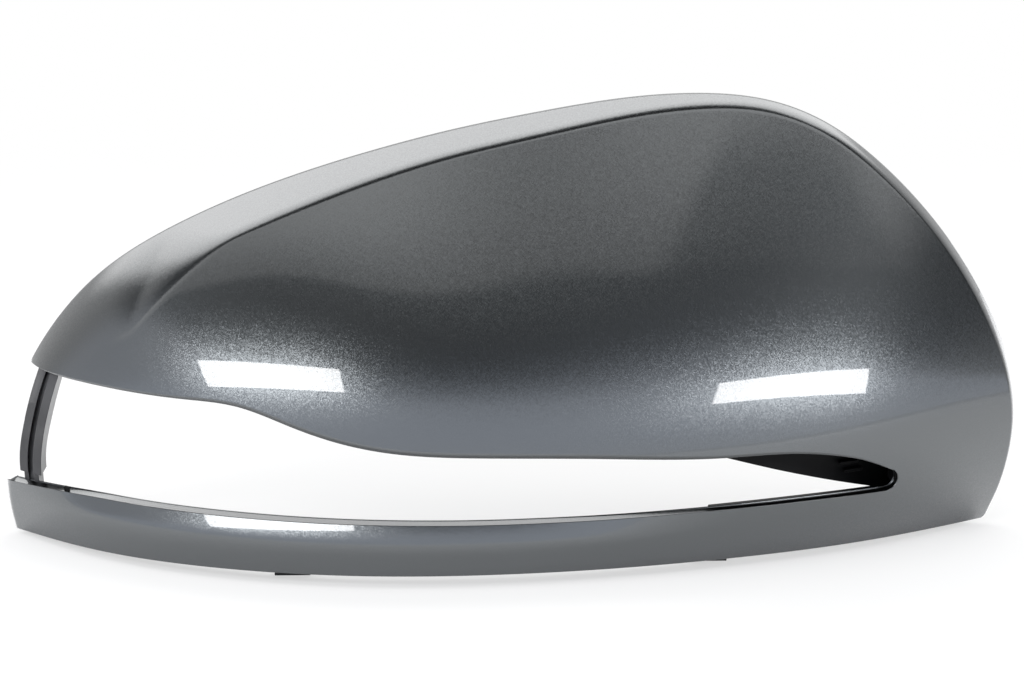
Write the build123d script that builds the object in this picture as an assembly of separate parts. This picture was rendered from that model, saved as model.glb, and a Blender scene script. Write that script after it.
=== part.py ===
from build123d import *
import math
import os

import numpy as np

# Door mirror housing cap: one moulded shell, open at the rear, with a slot for the indicator lamp.
# Millimetres. While it is drawn, the rear rim lies on y = 0, the front faces -y and the floor is z = 0.

# Driving dimensions
wall = 2.5                    # thickness of the moulded shell
root = 1.0                    # how deep lips and webs are rooted below the outer surface
rim_gap = 0.6                 # how far they stay inside the rear rim
rim_taper = 0.002             # share by which the rim's outline shrinks for each millimetre forward
rim_centre = (0.0, -40.0)     # point (x, z) that the outline shrinks towards
bottom_rise = 2.0             # height of the bottom edge over the floor at the front of the belly
edge_round = 3.5              # blend of the front and the rim wall along the crease
tip_round = 34.0              # the same blend at the left tip, where the crease fades out
tip_start, tip_end = -62.0, -100.0   # the crease softens between these two x
least_round = 0.5             # what is left of the blend where the front runs out at the rim

# Rear rim (x, z), anticlockwise from below the right corner to below the left one
rim_points = [
    (108.0, -12.0), (113.5, 0.0), (117.2, 10.0), (119.4, 20.0), (120.0, 29.5), (114.6, 49.3), (85.7, 87.7),
    (73.9, 96.4), (60.0, 102.0), (43.5, 103.8), (6.4, 99.7), (-12.1, 96.0), (-30.7, 91.3), (-78.5, 73.6),
    (-98.6, 60.4), (-105.9, 52.5), (-113.9, 40.0), (-117.6, 30.0), (-119.4, 6.0), (-117.8, -1.0),
    (-114.0, -12.0),
]
# Front: depth and height of its foremost line along x. Above the line the face bends back, within a reach,
# towards a slope; below it the face tucks under
ridge_points = [
    (-120, 2.5), (-100, 23.1), (-70, 42.2), (-35, 52.1), (0, 52.6), (40, 46.3), (80, 32.7), (118, 9.0),
]
ridge_height_points = [(-120, 24.6), (-40, 25.7), (40, 25.1), (118, 29.5)]
face_slope_points = [(-90, 2.5), (-20, 1.02), (50, 0.69), (110, 0.47)]
face_reach_points = [(-90, 125.0), (-20, 38.0), (50, 28.7), (110, 12.0)]
tuck_points = [(-90, 159), (-20, 117), (50, 63), (110, 68)]
lean_change = 12.0            # height over which bending back turns into tucking under

# Crown of the strip below the slot: its top leans back, fading out at the left end and towards the nose
crown_slope, crown_height, crown_round = 0.6, 10.3, 1.6
crown_full, crown_end = 17.0, 28.5   # it goes out between these heights, within the slot
crown_left, crown_right = (-119.0, -92.0), (0.0, 62.0)

# Lamp slot: upper and lower edge (x, z); the left end runs out through the rim
slot_top_points = [
    (-135, 40.6), (-105, 40.9), (-92, 41.3), (-74, 40.9), (-61, 39.5), (-50, 36.1), (-41, 33.1), (-31, 31.6),
    (-9, 30.7), (17, 29.6), (53, 27.7), (63, 26.4), (71, 24.1), (78, 21.3), (84.4, 18.2),
]
slot_nose = (86.4, 17.2)
slot_low_points = [
    (-135, 10.3), (-119, 12.5), (-105, 13.9), (-85, 14.5), (-20, 15.3), (20, 15.6), (62, 16.7), (84.8, 16.3),
]
lip_thickness, lip_step = 2.0, 0.5   # lips around the slot, and how far they stand back from its edge
top_lip_depth = 7.0           # how far each lip reaches back from the front
low_lip_depth = 6.0
deep_lip_depth, deep_lip_start = 10.0, 47.0   # the lower lip is deeper towards the right end
lip_left = -119.0
nub_place, nub_width, nub_height, nub_depth = -103.6, 2.0, 1.4, 3.5   # small nub on the lower lip

# Bottom flange and the two tabs below it
flange_depth, flange_thickness, flange_step = 8.0, 2.0, 0.5
tab_width, tab_length, tab_inset = 8.0, 3.0, 3.2
tab_places = (-50.5, 43.8)

# Post across the open left end of the slot
post_edge_points = [(8, -115.6), (15, -116.0), (19, -116.0), (27, -114.5), (35, -112.3), (44, -109.2)]
post_width, post_set_back, post_back = 5.4, 2.2, 1.2
groove_width, groove_depth = 1.3, 1.6
post_step_height, post_step = 15.6, 0.9

# Web behind the right end of the slot, with two snap ridges
web_set_back, web_thickness = 12.0, 2.0
web_edge = ((44.0, 24.8), (86.0, 15.4))
web_top, web_right = 34.0, 92.0
snap_places = ((74.4, 20.4), (75.6, 18.3))
snap_length, snap_height, snap_proud = 4.6, 0.8, 1.4

# Snap hooks on the inside of the rim wall, at angles seen from the rim's centre
hook_angles = (48.0, 68.0, 92.0, 116.0, 136.0)
hook_width, hook_thickness, hook_length, hook_barb, hook_gap = 9.0, 2.4, 8.0, 1.2, 1.0

# Grid of the shell's surface: a fan of rays from the rim's centre, its steps closest at the crease and strip
ray_range, ray_count = (11.0, 171.0), 49
step_count = 45
grid_ends = (0.2, 1.02)       # shares of the way to the rim
crease_crowd, crease_reach = 14.0, 5.0
strip_crowd, strip_height, strip_fade = 2.5, 28.0, 8.0

curve_points = 18             # places at which a long edge is taken from its guide
far = 300.0                   # longer than any cut needs


def guide(points):
    """Smooth curve through (place, value) points, straight beyond its ends."""
    place, value = np.array(points, float).T
    step = np.diff(place)
    slope = np.diff(value) / step
    system = np.eye(len(place))
    change = np.zeros(len(place))
    for i in range(1, len(place) - 1):
        system[i, i - 1:i + 2] = step[i - 1], 2 * (step[i - 1] + step[i]), step[i]
        change[i] = 6 * (slope[i] - slope[i - 1])
    bend = np.linalg.solve(system, change)

    def at(x):
        inside = np.clip(x, place[0], place[-1])
        i = np.clip(np.searchsorted(place, inside) - 1, 0, len(place) - 2)
        s = inside - place[i]
        start = slope[i] - step[i] * (2 * bend[i] + bend[i + 1]) / 6
        curve = value[i] + s * (start + s * (bend[i] / 2 + s * (bend[i + 1] - bend[i]) / (6 * step[i])))
        first = slope[0] - step[0] * bend[1] / 6
        last = slope[-1] + step[-1] * bend[-2] / 6
        return curve + np.where(x < place[0], first, last) * (x - inside)

    return at


def polar(x, z):
    return np.arctan2(z - rim_centre[1], x - rim_centre[0]), np.hypot(x - rim_centre[0], z - rim_centre[1])


rim_radius = guide(sorted(polar(x, z) for x, z in rim_points))
ridge_depth = guide(ridge_points)
ridge_height = guide(ridge_height_points)
face_slope = guide(face_slope_points)
face_reach = guide(face_reach_points)
tuck = guide(tuck_points)
slot_top = guide(slot_top_points)
slot_low = guide(slot_low_points)
post_edge = guide(post_edge_points)


def fade(start, end, at):
    """Share that rises smoothly from 0 at the start to 1 at the end."""
    share = np.clip((at - start) / (end - start), 0, 1)
    return share ** 2 * (3 - 2 * share)


def strip_crown(x, z):
    """How far the strip below the slot leans back at (x, z)."""
    share = fade(*crown_left, x) * (1 - fade(*crown_right, x)) * (1 - fade(crown_full, crown_end, z))
    rise = z - crown_height
    return share * crown_slope * (rise + np.sqrt(rise ** 2 + crown_round ** 2)) / 2


def front_depth(x, z):
    """Depth of the domed front at (x, z), forward of the rim plane."""
    up = z - ridge_height(x)
    share = 0.5 + 0.5 * np.tanh(up / lean_change)
    reach = face_reach(x)
    above = face_slope(x) * (np.sqrt(up ** 2 + reach ** 2) - reach)
    below = up ** 2 / tuck(x)
    return ridge_depth(x) - share * above - (1 - share) * below - strip_crown(x, z)


def wall_depth(x, z):
    """Depth at which the tapering rim wall passes (x, z)."""
    angle, radius = polar(x, z)
    return (1 - radius / rim_radius(angle)) / rim_taper


def steepness(field, x, z):
    """How much longer the way across a wall of this field is along y than square to it."""
    tiny = 1e-3
    along_x = (field(x + tiny, z) - field(x - tiny, z)) / (2 * tiny)
    along_z = (field(x, z + tiny) - field(x, z - tiny)) / (2 * tiny)
    return np.sqrt(1 + along_x ** 2 + along_z ** 2)


def inset_depths(x, z, inset):
    """Depths of the front and of the rim wall, both moved inside by the same distance."""
    front = front_depth(x, z) - inset * steepness(front_depth, x, z)
    side = wall_depth(x, z) - inset * steepness(wall_depth, x, z)
    return front, side


def depth(x, z, inset=0.0):
    """Depth of the shell's surface: the lesser of front and wall, blended along the crease."""
    front, side = inset_depths(x, z, inset)
    blend = edge_round + (tip_round - edge_round) * fade(tip_start, tip_end, x)
    blend = np.clip(front, least_round, blend)
    return np.minimum(front, side) - np.maximum(blend - np.abs(front - side), 0) ** 2 / (4 * blend)


def on_rays(scale):
    """(x, z) places on a fan of rays from the rim's centre, as shares of the way to the rim."""
    rays = np.radians(np.linspace(*ray_range, ray_count))[:, None]
    reach = scale * rim_radius(rays)
    return rim_centre[0] + reach * np.cos(rays), rim_centre[1] + reach * np.sin(rays)


def shell_face(inset):
    """The shell's surface at a distance inside the outer one, with its grid closest along the crease."""
    even = np.linspace(0, 1, step_count)
    fine = np.linspace(*grid_ends, 10 * step_count)
    x, z = on_rays(fine[None, :])
    front, side = inset_depths(x, z, inset)
    crowd = 1 + crease_crowd * np.exp(-((front - side) / crease_reach) ** 2)
    crowd = crowd + strip_crowd * fade(strip_height + strip_fade, strip_height, z)
    run = np.cumsum(crowd, axis=1) - crowd[:, :1]
    shares = np.array([np.interp(even, row / row[-1], fine) for row in run])
    x, z = on_rays(shares)
    y = -depth(x, z, inset)
    rows = []
    for row in zip(x, y, z):
        places = [Vector(*map(float, place)) for place in zip(*row)]
        rows.append(Wire([Edge.make_spline(places, parameters=[float(share) for share in even])]))
    return Shell.make_loft(rows).face()


def behind(face, set_back=0.0):
    """Everything behind a shell surface that is moved back by a distance."""
    return Pos(0, set_back, 0) * Solid.extrude(face, Vector(0, far, 0))


def across(outline):
    """A front-view outline carried straight through the cap."""
    return Solid.extrude(Face(Wire(outline)), Vector(0, far, 0))


def spot(x, z):
    return Vector(float(x), -far / 2, float(z))


def between(low, high, start, end, upright=False):
    """Front-view strip between two curves over a stretch of x, or of z when it stands upright."""
    places = np.linspace(start, end, curve_points)
    point = (lambda along, value: spot(value, along)) if upright else spot
    first = [point(place, low(place)) for place in places]
    second = [point(place, high(place)) for place in places]
    return across([
        Edge.make_spline(first),
        Edge.make_line(first[-1], second[-1]),
        Edge.make_spline(second[::-1]),
        Edge.make_line(second[0], first[0]),
    ])


def block(left, right, low, high):
    """Front-view rectangle carried straight through the cap."""
    return between(lambda x: low, lambda x: high, left, right)


outer_face = shell_face(0)
tilt = math.degrees(math.atan(bottom_rise / max(reach for _, reach in ridge_points)))
above_bottom = Rot(-tilt, 0, 0) * Box(2 * far, 2 * far, far, align=(Align.CENTER, Align.CENTER, Align.MIN))
before_rim = Box(2 * far, far, 2 * far, align=(Align.CENTER, Align.MAX, Align.CENTER))
room = behind(outer_face, root) & (Pos(0, -rim_gap, 0) * before_rim)


def lip(strip, lip_depth, start=root):
    """The part of a strip that grows from the inside of the shell to a depth behind its front."""
    space = room if start == root else room & behind(outer_face, start)
    return (strip & space) - behind(outer_face, lip_depth)


def slot():
    """The lamp slot: two long edges that meet in a round nose on the right."""
    stretch = np.linspace(slot_top_points[0][0], slot_top_points[-1][0], 2 * curve_points)
    top = [spot(x, slot_top(x)) for x in stretch]
    stretch = np.linspace(slot_low_points[-1][0], slot_low_points[0][0], 2 * curve_points)
    low = [spot(x, slot_low(x)) for x in stretch]
    return across([
        Edge.make_spline(top),
        Edge.make_three_point_arc(top[-1], spot(*slot_nose), low[0]),
        Edge.make_spline(low),
        Edge.make_line(low[-1], top[0]),
    ])


def shell():
    """The moulded skin with its flat rear rim, bottom edge and lamp slot."""
    filled = behind(outer_face) & before_rim & above_bottom
    return filled - behind(shell_face(wall)) - slot()


def slot_lips():
    """Lips that carry the lamp, a step back from the slot's edge: above it, below it and round its nose."""
    near, off = lip_step, lip_step + lip_thickness
    top_end, low_end = slot_top_points[-2][0], slot_low_points[-1][0]
    nose_right = slot_nose[0] + off
    top = between(lambda x: slot_top(x) + near, lambda x: slot_top(x) + off, lip_left, top_end)
    low = between(lambda x: slot_low(x) - off, lambda x: slot_low(x) - near, lip_left, nose_right)
    deep = between(lambda x: slot_low(x) - off, lambda x: slot_low(x) - near, deep_lip_start, nose_right)
    nose = block(slot_nose[0] + near, nose_right, slot_low(low_end) - near, slot_top(top_end) + off)
    ledge = float(slot_low(nub_place)) - lip_step
    nub = block(nub_place - nub_width / 2, nub_place + nub_width / 2, ledge - root, ledge + nub_height)
    return [
        lip(top, top_lip_depth),
        lip(low, low_lip_depth),
        lip(nub, nub_depth, nub_depth - nub_width),
        lip(deep, deep_lip_depth, low_lip_depth - root),
        lip(nose, deep_lip_depth),
    ]


def bottom_flange():
    """Flange just above the bottom edge, and the two tabs that the cap rests on."""
    slab = Box(2 * far, 2 * far, flange_thickness, align=(Align.CENTER, Align.CENTER, Align.MIN))
    pieces = [lip(Rot(-tilt, 0, 0) * Pos(0, 0, flange_step) * slab, flange_depth)]
    for place in tab_places:
        front = -float(depth(place, bottom_rise)) + tab_inset
        height = bottom_rise + flange_thickness
        tab = Box(tab_width, tab_length, height, align=(Align.CENTER, Align.MIN, Align.MIN))
        pieces.append(Pos(place, front, 0) * tab)
    return pieces


def post():
    """Post across the open end of the slot: two rails with a groove between, on a narrower foot."""
    low, high = post_edge_points[0][0], post_edge_points[-1][0]
    rail_width = (post_width - groove_width) / 2

    def upright(inset, start, end):
        left = lambda z: post_edge(z) + inset
        right = lambda z: post_edge(z) + post_width - inset
        return between(left, right, start, end, upright=True)

    before_back = Pos(0, -post_back, 0) * before_rim
    rails = upright(0, post_step_height, high) & behind(outer_face, post_set_back) & before_back
    foot = upright(post_step, low, post_step_height + post_step)
    foot = foot & behind(outer_face, post_set_back + post_step) & before_back
    groove = upright(rail_width, low, high) - behind(outer_face, post_set_back + groove_depth)
    return rails + foot - groove


def web():
    """Web behind the slot's right end: a plate, the shelf and cheek that hold it, and two snap ridges."""
    (left, left_height), (right, right_height) = web_edge
    slope = (right_height - left_height) / (right - left)
    lower = lambda x: left_height + slope * (x - left)
    back = web_set_back + web_thickness
    plate = between(lower, lambda x: web_top, left, web_right)
    shelf = block(left, web_right, web_top - web_thickness, web_top)
    cheek = between(lower, lambda x: web_top, web_right - web_thickness, web_right)
    pieces = [lip(plate, back, web_set_back), lip(shelf, back), lip(cheek, back)]
    for x, z in snap_places:
        bar = block(x, x + snap_length, z, z + snap_height)
        pieces.append(lip(bar, web_set_back + web_thickness / 2, web_set_back - snap_proud))
    return pieces


def hook(angle):
    """Snap hook inside the rim wall: a pad with a sloped barb at its rear end."""
    reach = float(rim_radius(math.radians(angle)))
    inside = -wall - hook_thickness
    front = -hook_gap - hook_length
    profile = Polyline(
        (-wall / 2, -hook_gap), (-wall / 2, front), (inside, front), (inside, -hook_gap - 3 * hook_barb),
        (inside - hook_barb, -hook_gap - hook_barb), (inside, -hook_gap), close=True,
    )
    pad = extrude(make_face(profile), hook_width / 2, both=True)
    return (Pos(rim_centre[0], 0, rim_centre[1]) * Rot(0, -angle, 0) * Pos(reach, 0, 0) * pad) & room


features = slot_lips() + bottom_flange() + web() + [post()] + [hook(angle) for angle in hook_angles]
part = shell() + features

# The finished cap stands on the floor with its origin below the middle of its box
grid_x, grid_z = on_rays(np.linspace(*grid_ends, step_count)[None, :])
part = Pos(0, float(depth(grid_x, grid_z).max()) / 2, 0) * part
os.makedirs("parts", exist_ok=True)
export_step(part, "parts/mirror_cap.step")
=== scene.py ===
import math

import bpy
import numpy as np
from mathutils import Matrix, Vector

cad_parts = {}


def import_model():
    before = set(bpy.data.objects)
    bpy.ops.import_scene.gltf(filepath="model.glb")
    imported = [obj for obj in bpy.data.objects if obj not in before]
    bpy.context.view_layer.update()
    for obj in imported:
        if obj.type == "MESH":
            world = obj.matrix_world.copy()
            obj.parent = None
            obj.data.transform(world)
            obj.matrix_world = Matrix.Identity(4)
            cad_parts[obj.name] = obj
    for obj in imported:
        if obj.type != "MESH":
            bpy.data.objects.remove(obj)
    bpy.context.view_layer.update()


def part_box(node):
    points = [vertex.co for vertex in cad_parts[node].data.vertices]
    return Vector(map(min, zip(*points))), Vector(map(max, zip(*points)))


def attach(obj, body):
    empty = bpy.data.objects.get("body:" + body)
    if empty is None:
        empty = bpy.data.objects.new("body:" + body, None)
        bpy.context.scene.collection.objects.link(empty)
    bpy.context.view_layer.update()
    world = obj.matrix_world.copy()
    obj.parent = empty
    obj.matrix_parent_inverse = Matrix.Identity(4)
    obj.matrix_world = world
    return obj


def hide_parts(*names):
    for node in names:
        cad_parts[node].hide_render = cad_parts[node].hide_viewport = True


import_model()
NODE = "mirror_cap"
low_corner, high_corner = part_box(NODE)
MM = 0.001

# The cap's form in millimetres: the rear rim lies on y = 0, the front faces -y, the floor is z = 0
WALL = 2.5
ROOT = 1.0
RIM_GAP = 0.6
RIM_TAPER = 0.002
RIM_CENTRE = (0.0, -40.0)
BOTTOM_RISE = 2.0
EDGE_ROUND, TIP_ROUND, LEAST_ROUND = 2.4, 34.0, 0.5
TIP_START, TIP_END = -62.0, -100.0
RIM_POINTS = [
    (108.0, -12.0), (113.5, 0.0), (117.2, 10.0), (119.4, 20.0), (120.0, 29.5), (114.6, 49.3), (85.7, 87.7),
    (73.9, 96.4), (60.0, 102.0), (43.5, 103.8), (6.4, 99.7), (-12.1, 96.0), (-30.7, 91.3), (-78.5, 73.6),
    (-98.6, 60.4), (-105.9, 52.5), (-113.9, 40.0), (-117.6, 30.0), (-119.4, 6.0), (-117.8, -1.0),
    (-114.0, -12.0),
]
RIDGE_POINTS = [
    (-120, 2.5), (-100, 23.1), (-70, 42.2), (-35, 52.1), (0, 52.6), (40, 46.3), (80, 32.7), (118, 9.0),
]
BOTTOM_TILT = BOTTOM_RISE / max(deep for _, deep in RIDGE_POINTS)
RIDGE_HEIGHT_POINTS = [(-120, 24.6), (-40, 25.7), (40, 25.1), (118, 29.5)]
FACE_SLOPE_POINTS = [(-90, 2.5), (-20, 1.02), (50, 0.69), (110, 0.47)]
FACE_REACH_POINTS = [(-90, 125.0), (-20, 38.0), (50, 28.7), (110, 12.0)]
TUCK_POINTS = [(-90, 159), (-20, 117), (50, 63), (110, 68)]
LEAN_CHANGE = 12.0
CROWN_SLOPE, CROWN_HEIGHT, CROWN_ROUND = 0.72, 10.3, 1.6
CROWN_FULL, CROWN_END = 17.0, 28.5
CROWN_LEFT, CROWN_RIGHT = (-119.0, -92.0), (0.0, 62.0)
SLOT_TOP_POINTS = [
    (-135, 40.1), (-105, 40.4), (-92, 40.1), (-74, 39.8), (-61, 39.1), (-50, 35.8), (-41, 33.1), (-31, 31.1),
    (-9, 29.6), (17, 28.6), (45, 27.1), (63, 26.6), (71, 25.3), (76.5, 23.9), (80.4, 22.4), (85.2, 20.0),
]
SLOT_LOW_POINTS = [
    (-135, 11.6), (-119, 13.8), (-105, 14.8), (-85, 15.2), (-20, 15.1), (20, 15.4), (62, 16.7), (84.8, 16.3),
]
SLOT_ROUND, SLOT_ROUND_PLACE = 2.0, 84.2
SLOT_NOSE = SLOT_ROUND_PLACE + SLOT_ROUND
LIP_THICKNESS, LIP_STEP = 2.0, 0.5
TOP_LIP_DEPTH, LOW_LIP_DEPTH = 7.0, 6.0
DEEP_LIP_DEPTH, DEEP_LIP_START = 10.0, 43.0
LIP_DROP, DEEP_LIP_DROP = 1.0, 1.7
NUB_PLACE, NUB_WIDTH, NUB_HEIGHT, NUB_DEPTH = -103.6, 1.2, 0.3, 3.0
FLANGE_DEPTH, FLANGE_THICKNESS, FLANGE_STEP = 8.0, 2.0, 0.5
FLANGE_END_HEIGHT, FLANGE_RIGHT = 1.5, 109.0
TAB_WIDTH, TAB_LENGTH, TAB_INSET = 8.0, 3.0, 6.4
TAB_PLACES = (-50.5, 43.8)
POST_EDGE_POINTS = [(8, -115.6), (15, -116.0), (19, -116.0), (27, -114.5), (35, -112.3), (44, -109.2)]
POST_WIDTH, POST_SET_BACK, POST_BACK = 5.8, 2.2, 1.2
POST_LEAST, POST_LAP = 0.5, 0.05
GROOVE_WIDTH, GROOVE_DEPTH = 1.3, 1.6
POST_STEP_HEIGHT, POST_STEP = 15.6, 0.9
WEB_SET_BACK, WEB_THICKNESS = 12.0, 2.0
WEB_EDGE = ((44.0, 25.5), (86.0, 12.3))
WEB_TOP, WEB_RIGHT = 34.0, 92.0
SNAP_PLACES = ((74.4, 20.4), (75.6, 18.3))
SNAP_LENGTH, SNAP_HEIGHT, SNAP_PROUD = 4.6, 0.8, 1.4
HOOK_ANGLES = (48.0, 68.0, 92.0, 116.0, 136.0)
HOOK_WIDTH, HOOK_THICKNESS, HOOK_LENGTH, HOOK_GAP = 9.0, 2.4, 8.0, 1.0
HOOK_BARB, HOOK_BARB_LENGTH = 1.2, 3.6
LEAST_DEPTH, LEAST_LAP = 0.2, 0.6

# Finer than the solid: rounded edges, in millimetres and degrees
OUTER_ROLL, INNER_ROLL = 0.8, 0.4
OUTER_ROLL_STEPS, INNER_ROLL_STEPS = 6, 3
LEAST_MITRE = 0.6
SMALL_BEVEL, BEVEL_SEGMENTS, BEVEL_ANGLE, SHARP_ANGLE = 0.25, 2, 40.0, 35.0

# The skin's grid: how many columns each stretch has, where the stretches meet and where columns crowd
STRIP_COLUMNS, CORNER_COLUMNS, TURN_COLUMNS, TOP_COLUMNS = 130, 26, 60, 220
ROWS = 92
CORNER_START, TURN_HEIGHT, TURN_END = 92.0, 44.0, 74.0
STRIP_CROWD, TIP_CROWD = (-119.0, 9.0, 3.0), (-113.0, 14.0, 1.5)
CREASE_REACH, CREASE_CROWD = 5.0, 0.35 / 60
END_COLUMNS = 40
TIP_CUT, TIP_CUT_ANGLE = 0.15, 0.0018
STRIP_END_ANGLES, TIP_ANGLES = (150, 170), (130, 155)
LEFT_BOTTOM_ANGLES, RIGHT_BOTTOM_ANGLES = (155, 172), (12, 35)

# How finely curves are sampled and how long searches go on
SLOT_SAMPLES, NOSE_SAMPLES, BOTTOM_SAMPLES, RIM_SAMPLES = 400, 40, 500, 900
END_SAMPLES, COLUMN_SAMPLES = 60, 400
LONG_SAMPLES, FLANGE_SAMPLES, WEB_SAMPLES, POST_SAMPLES, SHORT_SAMPLES = 90, 160, 60, 40, 3
END_SEARCH, END_SEARCH_SAMPLES = (-125, -60), 1300
RIM_SEARCH, HALVINGS, ROUNDS = (0.6, 1.0), 40, 30
SLOPE_STEP, NORMAL_STEP, TINY = 1e-3, 0.02, 1e-9

# Paint and plastic
PAINT_COLOUR, PAINT_ROUGHNESS = (0.09, 0.096, 0.1, 1), 0.28
COAT_ROUGHNESS, COAT_IOR = 0.03, 1.5
FLAKE_SCALE, FLAKE_LEAN = 4600.0, 0.09
CLOUD_SCALE, CLOUD_DETAIL, CLOUD_STEPS, PLASTIC_BLUE = 60.0, 3.0, (0.35, 0.75), 1.05

# Studio, in metres and degrees
FLOOR_SIDE, FLOOR_FRONT, FLOOR_BACK, FLOOR_DROP = 2.5, -2.0, 1.6, 0.0002
FLOOR_COLOUR, FLOOR_ROUGHNESS = (0.9, 0.9, 0.9, 1), 0.9
# Camera-only floor glow, a painted light over the cap's cast shadow: where it changes along y, its share and
# its strength
GLOW_PLACES, GLOW_SHARES, GLOW_STRENGTHS = (0.15, 0.8), (0.65, 1.0), (0.9, 1.0)
DIM = (0.026, 0.027, 0.029, 1)
PALE, PALE_LEFT = (0.62, 0.625, 0.63, 1), (0.97, 1.0, 1.07, 1)
LOW_FRONT = (1.3, 1.37, 1.52, 1)
CEILING, SCREEN, WHITE = (1.72, 1.72, 1.72, 1), (2.15, 2.15, 2.15, 1), (1.0, 1.0, 1.0, 1)
SOFTBOX_DISTANCE, SOFTBOX_RADIANCE = 0.9, 14.5
FILL_PLACE, FILL_SIZE, FILL_RADIANCE = (0.0, 0.4, 1.6), 3.2, 0.95
CAMERA_TARGET = (-0.949, -25.0, 50.358)
CAMERA_AZIMUTH, CAMERA_ELEVATION, CAMERA_DISTANCE = -2, 12, 0.54296
CAMERA_ANGLE, CAMERA_CLIP_END = 24, 50


def guide(points):
    """Smooth curve through (place, value) points, straight beyond its ends."""
    place, value = np.array(points, float).T
    step = np.diff(place)
    slope = np.diff(value) / step
    system = np.eye(len(place))
    change = np.zeros(len(place))
    for i in range(1, len(place) - 1):
        system[i, i - 1:i + 2] = step[i - 1], 2 * (step[i - 1] + step[i]), step[i]
        change[i] = 6 * (slope[i] - slope[i - 1])
    bend = np.linalg.solve(system, change)

    def at(x):
        inside = np.clip(x, place[0], place[-1])
        i = np.clip(np.searchsorted(place, inside) - 1, 0, len(place) - 2)
        s = inside - place[i]
        start = slope[i] - step[i] * (2 * bend[i] + bend[i + 1]) / 6
        curve = value[i] + s * (start + s * (bend[i] / 2 + s * (bend[i + 1] - bend[i]) / (6 * step[i])))
        first = slope[0] - step[0] * bend[1] / 6
        last = slope[-1] + step[-1] * bend[-2] / 6
        return curve + np.where(x < place[0], first, last) * (x - inside)

    return at


def above(curve, rise):
    """A curve raised by a distance."""
    return lambda x: curve(x) + rise


def level(height):
    """A curve that stays at one height."""
    return lambda x: height + 0 * x


def polar(x, z):
    """Angle and distance of a front-view point, seen from the rim's centre."""
    return np.arctan2(z - RIM_CENTRE[1], x - RIM_CENTRE[0]), np.hypot(x - RIM_CENTRE[0], z - RIM_CENTRE[1])


rim_radius = guide(sorted(polar(x, z) for x, z in RIM_POINTS))
ridge_depth = guide(RIDGE_POINTS)
ridge_height = guide(RIDGE_HEIGHT_POINTS)
face_slope = guide(FACE_SLOPE_POINTS)
face_reach = guide(FACE_REACH_POINTS)
tuck = guide(TUCK_POINTS)
slot_top = guide(SLOT_TOP_POINTS)
slot_low = guide(SLOT_LOW_POINTS)
post_edge = guide(POST_EDGE_POINTS)


def fade(start, end, at):
    """Share that rises smoothly from 0 at the start to 1 at the end."""
    share = np.clip((at - start) / (end - start), 0, 1)
    return share ** 2 * (3 - 2 * share)


def strip_crown(x, z):
    """How far the strip below the slot leans back."""
    share = fade(*CROWN_LEFT, x) * (1 - fade(*CROWN_RIGHT, x)) * (1 - fade(CROWN_FULL, CROWN_END, z))
    rise = z - CROWN_HEIGHT
    return share * CROWN_SLOPE * (rise + np.sqrt(rise ** 2 + CROWN_ROUND ** 2)) / 2


def front_depth(x, z):
    """Depth of the domed front, forward of the rim plane."""
    up = z - ridge_height(x)
    share = 0.5 + 0.5 * np.tanh(up / LEAN_CHANGE)
    reach = face_reach(x)
    over = face_slope(x) * (np.sqrt(up ** 2 + reach ** 2) - reach)
    return ridge_depth(x) - share * over - (1 - share) * up ** 2 / tuck(x) - strip_crown(x, z)


def wall_depth(x, z):
    """Depth of the side wall, which narrows towards the front."""
    angle, radius = polar(x, z)
    return (1 - radius / rim_radius(angle)) / RIM_TAPER


def slopes(field, x, z, step=SLOPE_STEP):
    """Slopes of a field of depths along x and z."""
    along_x = (field(x + step, z) - field(x - step, z)) / (2 * step)
    along_z = (field(x, z + step) - field(x, z - step)) / (2 * step)
    return along_x, along_z


def inset_depths(x, z, inset):
    """Depths of the front and the side wall, both moved in by a distance."""
    front, side = front_depth(x, z), wall_depth(x, z)
    if inset:
        front = front - inset * np.sqrt(1 + sum(s ** 2 for s in slopes(front_depth, x, z)))
        side = side - inset * np.sqrt(1 + sum(s ** 2 for s in slopes(wall_depth, x, z)))
    return front, side


def depth(x, z, inset=0.0):
    """Depth of the shell's surface: the lesser of front and wall, blended along the crease."""
    front, side = inset_depths(x, z, inset)
    blend = EDGE_ROUND + (TIP_ROUND - EDGE_ROUND) * fade(TIP_START, TIP_END, x)
    blend = np.clip(front, LEAST_ROUND, blend)
    return np.minimum(front, side) - np.maximum(blend - np.abs(front - side), 0) ** 2 / (4 * blend)


def unit(vectors):
    """Vectors made one long."""
    return vectors / np.maximum(np.linalg.norm(vectors, axis=-1, keepdims=True), TINY)


def outward(x, z):
    """Outward normal of the outer surface."""
    along_x, along_z = slopes(depth, x, z, NORMAL_STEP)
    return unit(np.stack([-along_x, -np.ones_like(along_x), -along_z], -1))


def resample(path, count, weight=None):
    """A path of (x, z) points taken again at even lengths, or at lengths evened out by a weight."""
    length = np.linalg.norm(np.diff(path, axis=0), axis=1)
    if weight is not None:
        length = length * weight((path[1:] + path[:-1]) / 2)
    run = np.concatenate([[0], np.cumsum(length)])
    at = np.linspace(0, run[-1], count)
    return np.stack([np.interp(at, run, path[:, k]) for k in range(2)], 1)


def crowd(place, spread, extra):
    """Weight that draws the points of a path together round a place along x."""
    return lambda points: 1 + extra * np.exp(-((points[:, 0] - place) / spread) ** 2)


def rim_at(angle, inside, inset=0.0):
    """Point at an angle seen from the rim's centre where a surface is a little forward of the rim plane."""
    angle = np.asarray(angle, float)
    low, high = (np.full_like(angle, share) for share in RIM_SEARCH)
    for _ in range(HALVINGS):
        middle = (low + high) / 2
        reach = rim_radius(angle) * middle
        x, z = RIM_CENTRE[0] + reach * np.cos(angle), RIM_CENTRE[1] + reach * np.sin(angle)
        deep = depth(x, z, inset) > inside
        low, high = np.where(deep, middle, low), np.where(deep, high, middle)
    return np.stack([x, z], -1)


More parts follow.
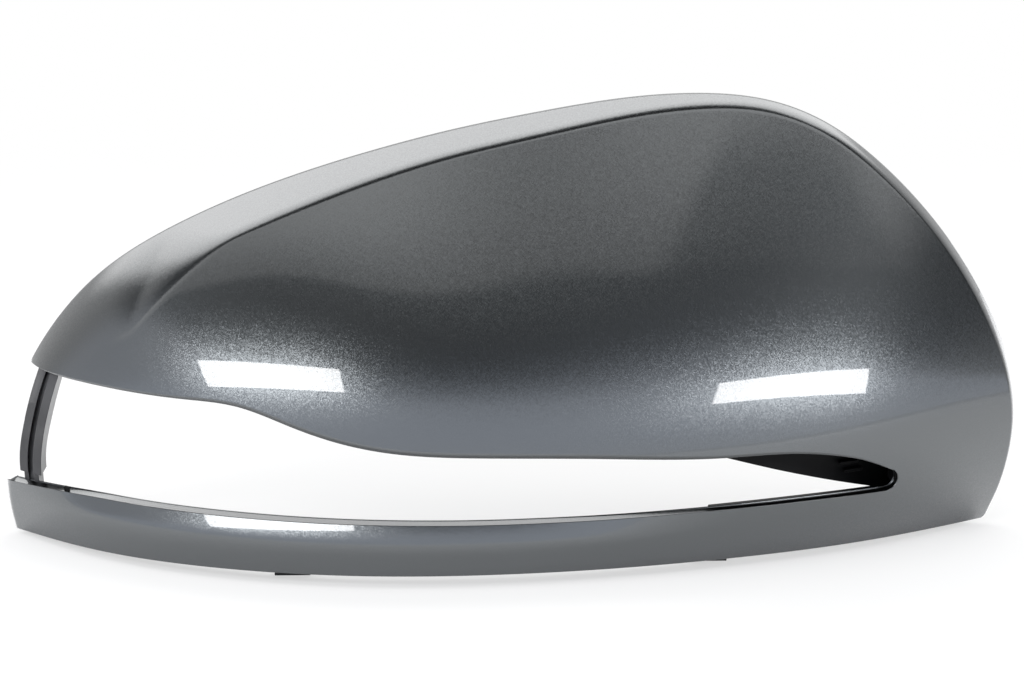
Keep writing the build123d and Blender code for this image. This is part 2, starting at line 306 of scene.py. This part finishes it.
def rim_angle(height, inside, inset, low, high):
    """Angle between two bounds at which the rim passes a height(x)."""
    low, high = math.radians(low), math.radians(high)
    rising = low < math.pi / 2
    for _ in range(HALVINGS):
        middle = (low + high) / 2
        x, z = rim_at(middle, inside, inset)
        if (z < height(x)) == rising:
            low = middle
        else:
            high = middle
    return middle


def bottom_height(x, margin, inset):
    """Height of the bottom edge, which rises towards the front."""
    z = np.full_like(x, margin)
    for _ in range(ROUNDS):
        z = margin + BOTTOM_TILT * np.maximum(depth(x, z, inset), 0)
    return z


def slot_end(grow):
    """Round right end of the slot, from below it to its upper edge, its radius made larger."""
    centre = np.array((SLOT_ROUND_PLACE, slot_low(SLOT_ROUND_PLACE) + SLOT_ROUND))
    rise, run = SLOT_TOP_POINTS[-1][1] - centre[1], SLOT_TOP_POINTS[-1][0] - centre[0]
    turn = np.linspace(-math.pi / 2, math.atan2(rise, run), NOSE_SAMPLES)
    return centre + (SLOT_ROUND + grow) * np.stack([np.cos(turn), np.sin(turn)], 1)


def band(margin, inside, inset):
    """Borders, as (x, z), of the C-shaped band round the slot: slot, bottom edge, rim and left end."""
    left_low = rim_angle(above(slot_low, -margin), inside, inset, *STRIP_END_ANGLES)
    left_top = rim_angle(above(slot_top, margin), inside, inset, *TIP_ANGLES)
    left_bottom = rim_angle(level(margin), inside, inset, *LEFT_BOTTOM_ANGLES)
    right_bottom = rim_angle(level(margin), inside, inset, *RIGHT_BOTTOM_ANGLES)
    start, end = rim_at(left_low, inside, inset), rim_at(left_top, inside, inset)
    x_low = np.linspace(start[0], SLOT_ROUND_PLACE, SLOT_SAMPLES)
    x_top = np.linspace(SLOT_TOP_POINTS[-1][0], end[0] + TIP_CUT, SLOT_SAMPLES)
    low_side = np.stack([x_low, slot_low(x_low) - margin], 1)
    top_side = np.stack([x_top, slot_top(x_top) + margin], 1)
    first, corner = rim_at(left_bottom, inside, inset), rim_at(right_bottom, inside, inset)
    x = np.linspace(first[0], corner[0], BOTTOM_SAMPLES)
    bottom = np.stack([x, bottom_height(x, margin, inset)], 1)
    rim = rim_at(np.linspace(right_bottom, left_top - TIP_CUT_ANGLE, RIM_SAMPLES), inside, inset)
    left_end = rim_at(np.linspace(left_low, left_bottom, END_SAMPLES), inside, inset)
    return (low_side, slot_end(margin), top_side), bottom, rim, left_end


def joined(*paths):
    """Paths that meet end to end, as one."""
    return np.concatenate([paths[0]] + [path[1:] for path in paths[1:]])


def end_bow(left_end, along, count):
    """How far columns bow out to follow the strip's left end, which fades over the first of them."""
    share = np.linspace(0, 1, END_SAMPLES)
    straight = left_end[0] + (left_end[-1] - left_end[0]) * share[:, None]
    bow = np.stack([np.interp(along, share, (left_end - straight)[:, k]) for k in range(2)], 1)
    strength = np.clip(1 - np.arange(count) / END_COLUMNS, 0, 1) ** 2
    return strength[:, None, None] * bow[None]


def even_rows(lines, inset):
    """Columns taken again at even lengths on the surface, closer together near the crease."""
    x, z = lines[..., 0], lines[..., 1]
    front, side = inset_depths(x, z, inset)
    surface = np.stack([x, -depth(x, z, inset), z], -1)
    length = np.linalg.norm(np.diff(surface, axis=1), axis=-1)
    away = np.abs(front - side)
    near = np.exp(-((away[:, 1:] + away[:, :-1]) / 2 / CREASE_REACH) ** 2)
    pace = length / length.sum(1, keepdims=True) + CREASE_CROWD * near
    grid = np.empty((len(lines), ROWS, 2))
    for i, line in enumerate(lines):
        run = np.concatenate([[0], np.cumsum(pace[i])])
        at = np.linspace(0, run[-1], ROWS)
        for k in range(2):
            grid[i, :, k] = np.interp(at, run, line[:, k])
    return grid


def columns(margin, inside, inset):
    """Grid of (x, z) over the band: columns from the slot's edge to the bottom edge or the rim."""
    (low_side, nose, top_side), bottom, rim, left_end = band(margin, inside, inset)
    crowd_left, crowd_tip = crowd(*STRIP_CROWD), crowd(*TIP_CROWD)
    half = NOSE_SAMPLES // 2
    split = np.searchsorted(bottom[:, 0], CORNER_START)
    turn = np.argmax(rim[:, 1] > TURN_HEIGHT)
    bend = np.argmax(top_side[:, 0] < TURN_END)
    start = joined(
        resample(low_side, STRIP_COLUMNS, crowd_left),
        resample(nose[:half + 1], CORNER_COLUMNS),
        resample(np.concatenate([nose[half:], top_side[:bend + 1]]), TURN_COLUMNS),
        resample(top_side[bend:], TOP_COLUMNS, crowd_tip),
    )
    end = joined(
        resample(bottom[:split + 1], STRIP_COLUMNS, crowd_left),
        resample(bottom[split:], CORNER_COLUMNS),
        resample(rim[:turn + 1], TURN_COLUMNS),
        resample(rim[turn:], TOP_COLUMNS, crowd_tip),
    )
    along = np.linspace(0, 1, COLUMN_SAMPLES)
    lines = start[:, None] + (end - start)[:, None] * along[None, :, None]
    return even_rows(lines + end_bow(left_end, along, len(lines)), inset)


def border(count, rows):
    """Indices, in order, round the border of a grid of columns."""
    index = np.arange(count * rows).reshape(count, rows)
    return np.concatenate([index[:-1, 0], index[-1, :-1], index[:0:-1, -1], index[0, :0:-1]])


def to_frame(points):
    """Millimetres of the form to metres of the row frame."""
    out = np.asarray(points, float) * MM
    out[..., 1] += high_corner.y
    out[..., 2] += low_corner.z
    return out


def mesh_object(name, points, faces):
    """A smooth-shaded mesh in the scene, from points in millimetres."""
    data = bpy.data.meshes.new(name)
    data.from_pydata([tuple(p) for p in to_frame(points)], [], [tuple(map(int, f)) for f in faces])
    data.validate()
    data.polygons.foreach_set("use_smooth", [True] * len(data.polygons))
    data.update()
    obj = bpy.data.objects.new(name, data)
    bpy.context.scene.collection.objects.link(obj)
    return obj


def edge_rings(edge, edge_in, normal):
    """Rings of points that round the skin's border off, from its outer surface to its inner one."""
    ahead, behind = np.roll(edge, -1, 0) - edge, edge - np.roll(edge, 1, 0)
    across = unit(np.cross(unit(behind), normal)) + unit(np.cross(unit(ahead), normal))
    away = across / np.maximum((across ** 2).sum(1, keepdims=True) / 2, LEAST_MITRE)
    middle, middle_in = edge - OUTER_ROLL * normal, edge_in + INNER_ROLL * normal
    turns = np.linspace(0, math.pi / 2, OUTER_ROLL_STEPS + 1)[1:]
    turns_in = np.linspace(0, math.pi / 2, INNER_ROLL_STEPS + 1)[:-1]
    rings = [middle + OUTER_ROLL * (normal * math.cos(t) + away * math.sin(t)) for t in turns]
    rings += [middle_in + INNER_ROLL * (away * math.cos(t) - normal * math.sin(t)) for t in turns_in]
    return rings


def shell():
    """The moulded skin as one closed mesh with rounded edges, and which of its faces are painted."""
    grid, grid_in = columns(OUTER_ROLL, OUTER_ROLL, 0.0), columns(INNER_ROLL, INNER_ROLL, WALL)
    x, z = grid[..., 0], grid[..., 1]
    x_in, z_in = grid_in[..., 0], grid_in[..., 1]
    outer = np.stack([x, -depth(x, z), z], -1).reshape(-1, 3)
    inner = np.stack([x_in, -depth(x_in, z_in, WALL), z_in], -1).reshape(-1, 3)
    normal = outward(x, z).reshape(-1, 3)
    loop = border(*x.shape)
    rings = edge_rings(outer[loop], inner[loop], normal[loop])
    size, turn = len(outer), np.arange(len(loop))
    index = np.arange(size).reshape(x.shape)
    outside = np.stack([index[:-1, :-1], index[1:, :-1], index[1:, 1:], index[:-1, 1:]], -1).reshape(-1, 4)
    inside = outside[:, ::-1] + size
    chain = [loop] + [2 * size + k * len(loop) + turn for k in range(len(rings))] + [loop + size]
    sides = []
    for first, second in zip(chain, chain[1:]):
        sides.append(np.stack([first, second, np.roll(second, -1), np.roll(first, -1)], -1))
    faces = np.concatenate([outside, inside] + sides)
    painted = np.ones(len(faces), bool)
    painted[len(outside):len(outside) + len(inside)] = False
    return mesh_object("painted_shell", np.concatenate([outer, inner] + rings), faces), painted


class Pieces:
    """Closed blocks gathered into one mesh."""

    def __init__(self):
        self.points, self.faces, self.size = [], [], 0

    def add(self, points, faces):
        """Take in one closed block."""
        self.points.append(np.asarray(points, float))
        self.faces += [tuple(int(i) + self.size for i in face) for face in faces]
        self.size += len(points)

    def block(self, x, z, front, back):
        """A closed block over a front-view grid of (x, z), from one y to another."""
        rows, cols = x.shape
        index = np.arange(rows * cols).reshape(rows, cols)
        near = np.stack([x, front, z], -1).reshape(-1, 3)
        rear = np.stack([x, back, z], -1).reshape(-1, 3)
        faces = []
        for i in range(rows - 1):
            for j in range(cols - 1):
                quad = [index[i, j], index[i + 1, j], index[i + 1, j + 1], index[i, j + 1]]
                faces.append(quad)
                faces.append([k + rows * cols for k in quad[::-1]])
        loop = border(rows, cols)
        for i, j in zip(loop, np.roll(loop, -1)):
            faces.append([j, i, i + rows * cols, j + rows * cols])
        self.add(np.concatenate([near, rear]), faces)

    def set_back(self, x, z, start, end):
        """A block from one distance behind the outer surface to another, short of the rim."""
        front = -depth(x, z)
        self.block(x, z, np.minimum(front + start, -RIM_GAP - LEAST_DEPTH), np.minimum(front + end, -RIM_GAP))

    def strip(self, low, high, left, right, start, end, count=LONG_SAMPLES):
        """A set-back block between two curves, from one x to another."""
        x = np.linspace(left, right, count)
        x = np.stack([x, x], 1)
        z = np.stack([low(x[:, 0]), high(x[:, 0])], 1)
        self.set_back(x, z, start, end)

    def build(self, name):
        """The finished mesh, its sharp edges bevelled."""
        obj = mesh_object(name, np.concatenate(self.points), self.faces)
        obj.data.set_sharp_from_angle(angle=math.radians(SHARP_ANGLE))
        bevel = obj.modifiers.new("edges", "BEVEL")
        bevel.width = SMALL_BEVEL * MM
        bevel.segments = BEVEL_SEGMENTS
        bevel.limit_method = "ANGLE"
        bevel.angle_limit = math.radians(BEVEL_ANGLE)
        bevel.harden_normals = True
        return obj


def strip_end(curve):
    """The x at the left end of a strip along a curve, where the shell is deep enough to hold it."""
    x = np.linspace(*END_SEARCH, END_SEARCH_SAMPLES)
    return float(x[np.argmax(depth(x, curve(x)) > ROOT + RIM_GAP + LEAST_LAP)])


def slot_lips():
    """Lips behind the slot's upper edge, the right part of its lower edge and its right end, and the nub."""
    pieces = Pieces()
    near, off = LIP_STEP, LIP_STEP + LIP_THICKNESS
    low_end, top_end = SLOT_LOW_POINTS[-1][0], SLOT_TOP_POINTS[-2][0]
    top = above(slot_top, near), above(slot_top, off)
    pieces.strip(*top, strip_end(top[1]), top_end, ROOT, TOP_LIP_DEPTH)
    deep = above(slot_low, -off - DEEP_LIP_DROP), above(slot_low, -near - DEEP_LIP_DROP)
    pieces.strip(*deep, DEEP_LIP_START, SLOT_NOSE + off, ROOT, DEEP_LIP_DEPTH)
    ledge = float(slot_low(NUB_PLACE)) - LIP_STEP
    nub = level(ledge - ROOT), level(ledge + NUB_HEIGHT)
    nub_sides = NUB_PLACE - NUB_WIDTH / 2, NUB_PLACE + NUB_WIDTH / 2
    pieces.strip(*nub, *nub_sides, NUB_DEPTH - NUB_WIDTH, NUB_DEPTH, SHORT_SAMPLES)
    upright = level(slot_low(low_end) - near), level(slot_top(top_end) + off)
    pieces.strip(*upright, SLOT_NOSE + near, SLOT_NOSE + off, ROOT, DEEP_LIP_DEPTH, SHORT_SAMPLES)
    return pieces.build("slot_lips")


def strip_ledge():
    """Painted ledge behind the left and middle of the slot's lower edge."""
    pieces = Pieces()
    drop = LIP_STEP + LIP_DROP
    low = above(slot_low, -drop - LIP_THICKNESS), above(slot_low, -drop)
    pieces.strip(*low, strip_end(low[1]), DEEP_LIP_START, ROOT, LOW_LIP_DEPTH)
    return pieces.build("strip_ledge")


def bottom_flange():
    """Flange along the bottom edge, and the tabs below it."""
    pieces = Pieces()
    x = np.linspace(strip_end(level(FLANGE_END_HEIGHT)), FLANGE_RIGHT, FLANGE_SAMPLES)
    y = -depth(x, bottom_height(x, 0.0, 0.0))
    front = np.minimum(y + ROOT, -RIM_GAP - LEAST_DEPTH)
    back = np.minimum(y + FLANGE_DEPTH, -RIM_GAP)
    low, high = FLANGE_STEP, FLANGE_STEP + FLANGE_THICKNESS
    section = (front, low), (front, high), (back, high), (back, low)
    corners = np.stack([np.stack([x, at, -at * BOTTOM_TILT + up], -1) for at, up in section], 1)
    sides = len(section)
    faces = [list(range(sides)), [sides * len(x) - 1 - k for k in range(sides)]]
    for i in range(len(x) - 1):
        for k in range(sides):
            a, b = sides * i + k, sides * i + (k + 1) % sides
            faces.append([a, a + sides, b + sides, b])
    pieces.add(corners.reshape(-1, 3), faces)
    for place in TAB_PLACES:
        front = -float(depth(place, BOTTOM_RISE)) + TAB_INSET
        x = place + np.array([[-0.5, -0.5], [0.5, 0.5]]) * TAB_WIDTH
        z = np.array([[0, 1], [0, 1]]) * (BOTTOM_RISE + FLANGE_THICKNESS)
        pieces.block(x, z, np.full((2, 2), front), np.full((2, 2), front + TAB_LENGTH))
    return pieces.build("bottom_flange")


def post():
    """Grooved post across the slot's open end, with a narrower foot."""
    pieces = Pieces()
    low, high = POST_EDGE_POINTS[0][0], POST_EDGE_POINTS[-1][0]
    rail = (POST_WIDTH - GROOVE_WIDTH) / 2

    def upright(left, right, start, end, set_back):
        z = np.linspace(start, end, POST_SAMPLES)
        z = np.stack([z, z], 1)
        x = post_edge(z) + np.array([left, right])
        front = np.minimum(-depth(x, z) + set_back, -POST_BACK - POST_LEAST)
        pieces.block(x, z, front, np.full_like(x, -POST_BACK))

    foot = POST_STEP_HEIGHT + POST_STEP
    groove = rail - POST_LAP, POST_WIDTH - rail + POST_LAP
    groove_back = POST_SET_BACK + GROOVE_DEPTH
    upright(0, rail, POST_STEP_HEIGHT, high, POST_SET_BACK)
    upright(POST_WIDTH - rail, POST_WIDTH, POST_STEP_HEIGHT, high, POST_SET_BACK)
    upright(*groove, POST_STEP_HEIGHT + POST_LAP, high - POST_LAP, groove_back)
    upright(POST_STEP, rail, low, foot, POST_SET_BACK + POST_STEP)
    upright(POST_WIDTH - rail, POST_WIDTH - POST_STEP, low, foot, POST_SET_BACK + POST_STEP)
    upright(*groove, low + POST_LAP, foot, groove_back)
    return pieces.build("post")


def web():
    """Web behind the slot's right end, closed above and at the right, with two snap ridges."""
    pieces = Pieces()
    (left, left_height), (right, right_height) = WEB_EDGE
    slope = (right_height - left_height) / (right - left)

    def lower(x):
        return left_height + slope * (x - left)

    back = WEB_SET_BACK + WEB_THICKNESS
    top = level(WEB_TOP)
    pieces.strip(lower, top, left, WEB_RIGHT, WEB_SET_BACK, back, WEB_SAMPLES)
    pieces.strip(level(WEB_TOP - WEB_THICKNESS), top, left, WEB_RIGHT, ROOT, back, WEB_SAMPLES)
    pieces.strip(lower, top, WEB_RIGHT - WEB_THICKNESS, WEB_RIGHT, ROOT, back, SHORT_SAMPLES)
    ridge_front, ridge_back = WEB_SET_BACK - SNAP_PROUD, WEB_SET_BACK + WEB_THICKNESS / 2
    for x, z in SNAP_PLACES:
        ridge = level(z), level(z + SNAP_HEIGHT)
        pieces.strip(*ridge, x, x + SNAP_LENGTH, ridge_front, ridge_back, SHORT_SAMPLES)
    return pieces.build("web")


def snap_hooks():
    """Barbed hooks inside the rim."""
    pieces = Pieces()
    inside, front = -WALL - HOOK_THICKNESS, -HOOK_GAP - HOOK_LENGTH
    profile = [
        (-WALL / 2, -HOOK_GAP), (-WALL / 2, front), (inside, front), (inside, -HOOK_GAP - HOOK_BARB_LENGTH),
        (inside - HOOK_BARB, -HOOK_GAP - HOOK_BARB), (inside, -HOOK_GAP),
    ]
    count = len(profile)
    centre = np.array([RIM_CENTRE[0], 0, RIM_CENTRE[1]])
    for angle in np.radians(HOOK_ANGLES):
        reach = float(rim_radius(angle))
        radial = np.array([math.cos(angle), 0, math.sin(angle)])
        sideways = np.array([-math.sin(angle), 0, math.cos(angle)])
        points = []
        for half in (-0.5, 0.5):
            for out, y in profile:
                radius = reach + out + RIM_TAPER * reach * y
                point = centre + radius * radial + half * HOOK_WIDTH * sideways
                point[1] = min(max(y, ROOT - depth(point[0], point[2])), -HOOK_GAP)
                points.append(point)
        faces = [[k, (k + 1) % count, (k + 1) % count + count, k + count] for k in range(count)]
        faces += [list(range(count))[::-1], list(range(count, 2 * count))]
        pieces.add(points, faces)
    return pieces.build("snap_hooks")


# Materials

def node(tree, kind, **values):
    """A shader node with some of its inputs or settings given."""
    made = tree.nodes.new(kind)
    for key, value in values.items():
        if key in made.inputs.keys():
            made.inputs[key].default_value = value
        else:
            setattr(made, key, value)
    return made


def material(name, **values):
    """A material, its node tree and its main shader, whose inputs are given with _ for a space."""
    made = bpy.data.materials.new(name)
    made.use_nodes = True
    shader = made.node_tree.nodes["Principled BSDF"]
    for key, value in values.items():
        shader.inputs[key.replace("_", " ")].default_value = value
    return made, made.node_tree, shader


def paint_material():
    """Dark grey metallic paint: fine flakes under a clear coat."""
    made, tree, shader = material(
        "metallic_paint", Base_Color=PAINT_COLOUR, Metallic=1.0, Roughness=PAINT_ROUGHNESS,
        Coat_Weight=1.0, Coat_Roughness=COAT_ROUGHNESS, Coat_IOR=COAT_IOR,
    )
    place = node(tree, "ShaderNodeTexCoord")
    flakes = node(tree, "ShaderNodeTexVoronoi", Scale=FLAKE_SCALE)
    tree.links.new(place.outputs["Object"], flakes.inputs["Vector"])
    centred = node(tree, "ShaderNodeVectorMath", operation="SUBTRACT")
    centred.inputs[1].default_value = (0.5, 0.5, 0.5)
    tree.links.new(flakes.outputs["Color"], centred.inputs[0])
    lean = node(tree, "ShaderNodeVectorMath", operation="SCALE")
    lean.inputs["Scale"].default_value = FLAKE_LEAN
    tree.links.new(centred.outputs[0], lean.inputs[0])
    geometry = node(tree, "ShaderNodeNewGeometry")
    tipped = node(tree, "ShaderNodeVectorMath", operation="ADD")
    tree.links.new(geometry.outputs["Normal"], tipped.inputs[0])
    tree.links.new(lean.outputs[0], tipped.inputs[1])
    normal = node(tree, "ShaderNodeVectorMath", operation="NORMALIZE")
    tree.links.new(tipped.outputs[0], normal.inputs[0])
    tree.links.new(normal.outputs[0], shader.inputs["Normal"])
    return made


def plastic_material(name, dark, light, roughness, shine):
    """Bare plastic, its grey slightly uneven."""
    made, tree, shader = material(name, Roughness=roughness, Specular_IOR_Level=shine)
    place = node(tree, "ShaderNodeTexCoord")
    cloud = node(tree, "ShaderNodeTexNoise", Scale=CLOUD_SCALE, Detail=CLOUD_DETAIL)
    tree.links.new(place.outputs["Object"], cloud.inputs["Vector"])
    tint = node(tree, "ShaderNodeValToRGB")
    for element, position, grey in zip(tint.color_ramp.elements, CLOUD_STEPS, (dark, light)):
        element.position = position
        element.color = (grey, grey, grey * PLASTIC_BLUE, 1)
    tree.links.new(cloud.outputs["Fac"], tint.inputs["Fac"])
    tree.links.new(tint.outputs["Color"], shader.inputs["Base Color"])
    return made


paint = paint_material()
plastic = plastic_material("moulded_plastic", dark=0.012, light=0.035, roughness=0.5, shine=0.35)
black = plastic_material("black_plastic", dark=0.004, light=0.008, roughness=0.55, shine=0.12)
gloss = plastic_material("glossy_plastic", dark=0.035, light=0.07, roughness=0.3, shine=0.15)
finishes = {"post": gloss, "slot_lips": black, "web": black, "strip_ledge": paint}

body, painted = shell()
body.data.materials.append(paint)
body.data.materials.append(plastic)
body.data.polygons.foreach_set("material_index", np.where(painted, 0, 1).astype(np.int32))
inside_pieces = [slot_lips(), strip_ledge(), bottom_flange(), post(), web(), snap_hooks()]
for piece in inside_pieces:
    piece.data.materials.append(finishes.get(piece.name, plastic))
for piece in [body] + inside_pieces:
    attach(piece, "root")
    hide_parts(NODE)


# Studio

class Formula:
    """Shader nodes of one tree, put together like a formula."""

    def __init__(self, tree):
        self.tree = tree

    def give(self, value, socket):
        """Link an output to an input, or set the input to a number or colour."""
        if isinstance(value, bpy.types.NodeSocket):
            self.tree.links.new(value, socket)
        else:
            socket.default_value = value

    def maths(self, kind, first, second=0.0):
        """One operation on two numbers."""
        made = node(self.tree, "ShaderNodeMath", operation=kind)
        self.give(first, made.inputs[0])
        self.give(second, made.inputs[1])
        return made.outputs[0]

    def ramp(self, value, start, end, low=0.0, high=1.0):
        """Smooth change from low to high while a value goes from start to end."""
        made = node(self.tree, "ShaderNodeMapRange", interpolation_type="SMOOTHSTEP")
        keys = ("Value", "From Min", "From Max", "To Min", "To Max")
        for key, number in zip(keys, (value, start, end, low, high)):
            self.give(number, made.inputs[key])
        return made.outputs["Result"]

    def product(self, first, *factors):
        """Product of several numbers."""
        for factor in factors:
            first = self.maths("MULTIPLY", first, factor)
        return first

    def blend(self, factor, first, second):
        """Mix of two colours."""
        made = node(self.tree, "ShaderNodeMix", data_type="RGBA")
        for value, socket in zip((factor, first, second), (made.inputs[0], *made.inputs[6:8])):
            self.give(value, socket)
        return made.outputs[2]


def painted_floor_glow(tree, shader):
    """Painted light on the floor: where the camera sees it, the floor glows, which lightens the cap's cast
    shadow; the glow is a little weaker near the cap, and far behind the cap the floor is plain white.
    """
    formula = Formula(tree)
    place = node(tree, "ShaderNodeNewGeometry")
    parts = node(tree, "ShaderNodeSeparateXYZ")
    tree.links.new(place.outputs["Position"], parts.inputs[0])
    ray = node(tree, "ShaderNodeLightPath")
    away = formula.ramp(parts.outputs["Y"], *GLOW_PLACES, *GLOW_SHARES)
    white = node(tree, "ShaderNodeEmission")
    tree.links.new(formula.ramp(parts.outputs["Y"], *GLOW_PLACES, *GLOW_STRENGTHS), white.inputs["Strength"])
    mix = node(tree, "ShaderNodeMixShader")
    tree.links.new(formula.product(away, ray.outputs["Is Camera Ray"]), mix.inputs[0])
    tree.links.new(shader.outputs[0], mix.inputs[1])
    tree.links.new(white.outputs[0], mix.inputs[2])
    tree.links.new(mix.outputs[0], tree.nodes["Material Output"].inputs["Surface"])


def floor():
    """Pale floor just below the cap."""
    data = bpy.data.meshes.new("floor")
    z = low_corner.z - FLOOR_DROP
    front = [(-FLOOR_SIDE, FLOOR_FRONT, z), (FLOOR_SIDE, FLOOR_FRONT, z)]
    back = [(FLOOR_SIDE, FLOOR_BACK, z), (-FLOOR_SIDE, FLOOR_BACK, z)]
    data.from_pydata(front + back, [], [(0, 1, 2, 3)])
    obj = bpy.data.objects.new("floor", data)
    bpy.context.scene.collection.objects.link(obj)
    made, tree, shader = material(
        "pale_floor", Base_Color=FLOOR_COLOUR, Roughness=FLOOR_ROUGHNESS, Specular_IOR_Level=0.0,
    )
    # Painted light: a camera-only glow that lightens the cap's shadow on the floor
    painted_floor_glow(tree, shader)
    data.materials.append(made)


def heading(azimuth, elevation):
    """Direction seen from the cap: azimuth 0 is straight in front of it, 90 to its right."""
    a, e = math.radians(azimuth), math.radians(elevation)
    return Vector((math.sin(a) * math.cos(e), -math.cos(a) * math.cos(e), math.sin(e)))


def card(name, location, facing, width, height, radiance, turn=0.0):
    """Rectangular light of a given radiance, which the camera doesn't see."""
    data = bpy.data.lights.new(name, "AREA")
    data.shape = "RECTANGLE"
    data.size, data.size_y = width, height
    data.energy = radiance * math.pi * width * height
    obj = bpy.data.objects.new(name, data)
    obj.location = location
    obj.rotation_euler = (-Vector(facing)).to_track_quat("Z", "Y").to_euler()
    obj.rotation_euler.rotate_axis("Z", math.radians(turn))
    obj.visible_camera = False
    bpy.context.scene.collection.objects.link(obj)
    return obj


def softbox(name, at, azimuth, elevation, width, height, turn):
    """Light card seen in a direction from a point of the form."""
    towards = heading(azimuth, elevation)
    place = Vector(to_frame(np.array(at))) + towards * SOFTBOX_DISTANCE
    card(name, place, -towards, width, height, SOFTBOX_RADIANCE, turn)


def fill_light():
    """Wide light overhead, which isn't mirrored."""
    obj = card("fill", FILL_PLACE, (0, 0, -1), FILL_SIZE, FILL_SIZE, FILL_RADIANCE)
    obj.visible_glossy = False


def world():
    """Dim studio by direction: pale low down, with a ceiling and a screen behind; white to the camera."""
    made = bpy.data.worlds.new("studio")
    bpy.context.scene.world = made
    made.use_nodes = True
    tree = made.node_tree
    tree.nodes.clear()
    place = node(tree, "ShaderNodeTexCoord")
    parts = node(tree, "ShaderNodeSeparateXYZ")
    tree.links.new(place.outputs["Generated"], parts.inputs[0])
    formula = Formula(tree)
    maths, ramp, product, blend = formula.maths, formula.ramp, formula.product, formula.blend
    x, y, z = parts.outputs

    # Where a direction meets a level plane one unit up
    up = maths("MAXIMUM", z, 0.05)
    across, along = maths("DIVIDE", x, up), maths("DIVIDE", y, up)

    # Pale zones low down, bluer at the left, and the brighter front
    low_left = ramp(maths("ADD", z, maths("MULTIPLY", x, 0.22)), 0.5, 0.3)
    low_back = product(ramp(y, 0.1, 0.4), ramp(z, 0.62, 0.5), ramp(x, -0.5, 0.0))
    left = product(ramp(x, -0.2, -0.6), ramp(y, 0.5, 0.1))
    studio = blend(maths("MAXIMUM", low_left, low_back), DIM, blend(left, PALE, PALE_LEFT))
    studio = blend(ramp(along, -0.95, -1.85), studio, LOW_FRONT)

    # Ceiling with a curved front border and a dark wedge at the right
    edge = maths("ADD", ramp(across, -0.55, 0.5, -0.36, -0.78), ramp(across, 1.0, 2.2, 0.0, 0.17))
    inside = maths("SUBTRACT", along, edge)
    wedge = product(ramp(across, 0.36, 0.5), ramp(across, 1.5, 0.9, 0.75, 1.0), ramp(along, -0.52, -0.64))
    ceiling = product(
        ramp(inside, -0.02, 0.03), ramp(along, 0.06, -0.12), ramp(maths("ABSOLUTE", across), 2.4, 1.5),
        ramp(inside, 0.0, 0.32, 0.4, 1.0), ramp(wedge, 0.0, 1.0, 1.0, 0.2),
    )
    studio = blend(ceiling, studio, CEILING)

    # Bright screen behind the cap
    middle = ramp(maths("ABSOLUTE", x), 0.68, 0.54)
    screen = product(middle, ramp(z, 0.28, 0.42), ramp(z, 0.86, 0.74), ramp(y, 0.2, 0.5))
    studio = blend(screen, studio, SCREEN)

    ray = node(tree, "ShaderNodeLightPath")
    shine = node(tree, "ShaderNodeBackground")
    tree.links.new(blend(ray.outputs["Is Camera Ray"], studio, WHITE), shine.inputs["Color"])
    out = node(tree, "ShaderNodeOutputWorld")
    tree.links.new(shine.outputs[0], out.inputs["Surface"])


def camera():
    """The photo's camera."""
    data = bpy.data.cameras.new("camera")
    data.sensor_fit = "HORIZONTAL"
    data.angle = math.radians(CAMERA_ANGLE)
    data.clip_end = CAMERA_CLIP_END
    obj = bpy.data.objects.new("camera", data)
    target = Vector(to_frame(np.array(CAMERA_TARGET)))
    obj.location = target + heading(CAMERA_AZIMUTH, CAMERA_ELEVATION) * CAMERA_DISTANCE
    obj.rotation_euler = (obj.location - target).to_track_quat("Z", "Y").to_euler()
    bpy.context.scene.collection.objects.link(obj)
    bpy.context.scene.camera = obj


floor()
world()
softbox("left_softbox", (-54, -43, 47.2), azimuth=-38, elevation=32, width=0.53, height=0.15, turn=21)
softbox("right_softbox", (60, -38, 42), azimuth=48, elevation=18.5, width=0.48, height=0.11, turn=-17)
fill_light()
camera()

scene = bpy.context.scene
scene.view_settings.view_transform = "Standard"
